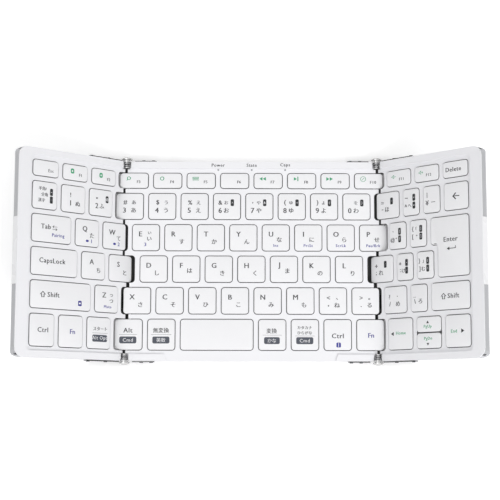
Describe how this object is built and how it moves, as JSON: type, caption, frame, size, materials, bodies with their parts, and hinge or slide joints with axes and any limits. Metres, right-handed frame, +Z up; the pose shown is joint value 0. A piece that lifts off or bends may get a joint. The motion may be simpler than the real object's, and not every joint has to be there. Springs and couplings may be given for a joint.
{
  "type": "folding keyboard",
  "caption": "Slim keyboard in three panels with low scissor keys; the side panels fold over the middle one on friction hinges.",
  "frame": {"origin": "on the surface that the feet stand on, under the middle of the centre panel", "axes": "+X to the user's right, +Y to the rear row of keys, +Z up"},
  "size_m": [0.2609, 0.1218, 0.0585],
  "materials": {
    "casing_white": "satin moulded plastic",
    "key_white": "fine matt moulded plastic with printed legends",
    "shell_silver": "bead-blasted, anodised",
    "insert_white": "smooth moulded plastic",
    "hinge_chrome": "polished",
    "washer_steel": "ground spring steel",
    "screw_steel": "blackened",
    "plate_steel": "plain sheet",
    "silicone": "translucent silicone on film",
    "scissor_plastic": "natural acetal",
    "foot_rubber": "matt",
    "board_green": "solder mask",
    "cell_foil": "foil pouch",
    "port_steel": "plated",
    "lamp_clear": "clear light pipe",
    "flex_film": "polyimide film"
  },
  "bodies": {
    "centre_panel": {"centre_bottom_shell": "casing_white", "centre_top_frame": "casing_white", "centre_key_plate": "plate_steel", "centre_switch_membrane": "silicone", "centre_scissors": "scissor_plastic", "centre_feet": "foot_rubber", "centre_screws": "screw_steel", "main_board": "board_green", "battery": "cell_foil", "charging_port": "port_steel", "status_lamps": "lamp_clear", "left_flex_cable": "flex_film", "right_flex_cable": "flex_film", "centre_hinge_leaves": "hinge_chrome", "hinge_shafts": "hinge_chrome", "hinge_washers": "washer_steel"},
    "left_wing": {"left_bottom_shell": "shell_silver", "left_top_frame": "casing_white", "left_key_plate": "plate_steel", "left_switch_membrane": "silicone", "left_scissors": "scissor_plastic", "left_feet": "foot_rubber", "left_screws": "screw_steel", "left_side_insert": "insert_white", "left_hinge_leaves": "hinge_chrome"},
    "right_wing": {"right_bottom_shell": "shell_silver", "right_top_frame": "casing_white", "right_key_plate": "plate_steel", "right_switch_membrane": "silicone", "right_scissors": "scissor_plastic", "right_feet": "foot_rubber", "right_screws": "screw_steel", "right_side_insert": "insert_white", "right_hinge_leaves": "hinge_chrome"},
    "function_keys": {"function_keys": "key_white"},
    "number_keys": {"number_keys": "key_white"},
    "upper_keys": {"upper_keys": "key_white"},
    "home_keys": {"home_keys": "key_white"},
    "lower_keys": {"lower_keys": "key_white"},
    "bottom_keys": {"bottom_keys": "key_white"},
    "space_key": {"space_key": "key_white"},
    "left_function_keys": {"left_function_keys": "key_white"},
    "left_number_keys": {"left_number_keys": "key_white"},
    "tab_key": {"tab_key": "key_white"},
    "left_upper_keys": {"left_upper_keys": "key_white"},
    "caps_lock_key": {"caps_lock_key": "key_white"},
    "left_home_keys": {"left_home_keys": "key_white"},
    "left_shift_key": {"left_shift_key": "key_white"},
    "left_lower_key": {"left_lower_key": "key_white"},
    "left_bottom_keys": {"left_bottom_keys": "key_white"},
    "right_function_keys": {"right_function_keys": "key_white"},
    "right_number_keys": {"right_number_keys": "key_white"},
    "backspace_key": {"backspace_key": "key_white"},
    "right_upper_keys": {"right_upper_keys": "key_white"},
    "enter_key": {"enter_key": "key_white"},
    "right_home_keys": {"right_home_keys": "key_white"},
    "right_lower_keys": {"right_lower_keys": "key_white"},
    "right_shift_key": {"right_shift_key": "key_white"},
    "page_keys": {"page_keys": "key_white"},
    "right_bottom_keys": {"right_bottom_keys": "key_white"}
  },
  "joints": [
    {"name": "left_fold", "type": "hinge", "parent": "centre_panel", "child": "left_wing", "pos_m": [-0.0733, 0, 0.0081], "axis": [0, 1, 0], "range_deg": [-41.4, 138.6], "deforming": ["left_flex_cable"]},
    {"name": "right_fold", "type": "hinge", "parent": "centre_panel", "child": "right_wing", "pos_m": [0.0733, 0, 0.0081], "axis": [0, -1, 0], "range_deg": [-44, 136], "deforming": ["right_flex_cable"]},
    {"name": "function_keys_press", "type": "slide", "parent": "centre_panel", "child": "function_keys", "axis": [0, 0, -1], "range_m": [0, 0.0012], "stiffness_N_per_m": 3600, "deforming": ["centre_scissors", "centre_switch_membrane"]},
    {"name": "number_keys_press", "type": "slide", "parent": "centre_panel", "child": "number_keys", "axis": [0, 0, -1], "range_m": [0, 0.0012], "stiffness_N_per_m": 3600},
    {"name": "upper_keys_press", "type": "slide", "parent": "centre_panel", "child": "upper_keys", "axis": [0, 0, -1], "range_m": [0, 0.0012], "stiffness_N_per_m": 3600},
    {"name": "home_keys_press", "type": "slide", "parent": "centre_panel", "child": "home_keys", "axis": [0, 0, -1], "range_m": [0, 0.0012], "stiffness_N_per_m": 3150},
    {"name": "lower_keys_press", "type": "slide", "parent": "centre_panel", "child": "lower_keys", "axis": [0, 0, -1], "range_m": [0, 0.0012], "stiffness_N_per_m": 3600},
    {"name": "bottom_keys_press", "type": "slide", "parent": "centre_panel", "child": "bottom_keys", "axis": [0, 0, -1], "range_m": [0, 0.0012], "stiffness_N_per_m": 2700},
    {"name": "space_key_press", "type": "slide", "parent": "centre_panel", "child": "space_key", "axis": [0, 0, -1], "range_m": [0, 0.0012], "stiffness_N_per_m": 450},
    {"name": "left_function_keys_press", "type": "slide", "parent": "left_wing", "child": "left_function_keys", "axis": [-0.6613, 0, -0.7501], "range_m": [0, 0.0012], "stiffness_N_per_m": 1350, "deforming": ["left_scissors", "left_switch_membrane"]},
    {"name": "left_number_keys_press", "type": "slide", "parent": "left_wing", "child": "left_number_keys", "axis": [-0.6613, 0, -0.7501], "range_m": [0, 0.0012], "stiffness_N_per_m": 1350},
    {"name": "tab_key_press", "type": "slide", "parent": "left_wing", "child": "tab_key", "axis": [-0.6613, 0, -0.7501], "range_m": [0, 0.0012], "stiffness_N_per_m": 450},
    {"name": "left_upper_keys_press", "type": "slide", "parent": "left_wing", "child": "left_upper_keys", "axis": [-0.6613, 0, -0.7501], "range_m": [0, 0.0012], "stiffness_N_per_m": 900},
    {"name": "caps_lock_key_press", "type": "slide", "parent": "left_wing", "child": "caps_lock_key", "axis": [-0.6613, 0, -0.7501], "range_m": [0, 0.0012], "stiffness_N_per_m": 450},
    {"name": "left_home_keys_press", "type": "slide", "parent": "left_wing", "child": "left_home_keys", "axis": [-0.6613, 0, -0.7501], "range_m": [0, 0.0012], "stiffness_N_per_m": 900},
    {"name": "left_shift_key_press", "type": "slide", "parent": "left_wing", "child": "left_shift_key", "axis": [-0.6613, 0, -0.7501], "range_m": [0, 0.0012], "stiffness_N_per_m": 450},
    {"name": "left_lower_key_press", "type": "slide", "parent": "left_wing", "child": "left_lower_key", "axis": [-0.6613, 0, -0.7501], "range_m": [0, 0.0012], "stiffness_N_per_m": 450},
    {"name": "left_bottom_keys_press", "type": "slide", "parent": "left_wing", "child": "left_bottom_keys", "axis": [-0.6613, 0, -0.7501], "range_m": [0, 0.0012], "stiffness_N_per_m": 1350},
    {"name": "right_function_keys_press", "type": "slide", "parent": "right_wing", "child": "right_function_keys", "axis": [0.6947, 0, -0.7193], "range_m": [0, 0.0012], "stiffness_N_per_m": 1350, "deforming": ["right_scissors", "right_switch_membrane"]},
    {"name": "right_number_keys_press", "type": "slide", "parent": "right_wing", "child": "right_number_keys", "axis": [0.6947, 0, -0.7193], "range_m": [0, 0.0012], "stiffness_N_per_m": 1350},
    {"name": "backspace_key_press", "type": "slide", "parent": "right_wing", "child": "backspace_key", "axis": [0.6947, 0, -0.7193], "range_m": [0, 0.0012], "stiffness_N_per_m": 450},
    {"name": "right_upper_keys_press", "type": "slide", "parent": "right_wing", "child": "right_upper_keys", "axis": [0.6947, 0, -0.7193], "range_m": [0, 0.0012], "stiffness_N_per_m": 900},
    {"name": "enter_key_press", "type": "slide", "parent": "right_wing", "child": "enter_key", "axis": [0.6947, 0, -0.7193], "range_m": [0, 0.0012], "stiffness_N_per_m": 450},
    {"name": "right_home_keys_press", "type": "slide", "parent": "right_wing", "child": "right_home_keys", "axis": [0.6947, 0, -0.7193], "range_m": [0, 0.0012], "stiffness_N_per_m": 1350},
    {"name": "right_lower_keys_press", "type": "slide", "parent": "right_wing", "child": "right_lower_keys", "axis": [0.6947, 0, -0.7193], "range_m": [0, 0.0012], "stiffness_N_per_m": 900},
    {"name": "right_shift_key_press", "type": "slide", "parent": "right_wing", "child": "right_shift_key", "axis": [0.6947, 0, -0.7193], "range_m": [0, 0.0012], "stiffness_N_per_m": 450},
    {"name": "page_keys_press", "type": "slide", "parent": "right_wing", "child": "page_keys", "axis": [0.6947, 0, -0.7193], "range_m": [0, 0.0012], "stiffness_N_per_m": 900},
    {"name": "right_bottom_keys_press", "type": "slide", "parent": "right_wing", "child": "right_bottom_keys", "axis": [0.6947, 0, -0.7193], "range_m": [0, 0.0012], "stiffness_N_per_m": 900}
  ]
}
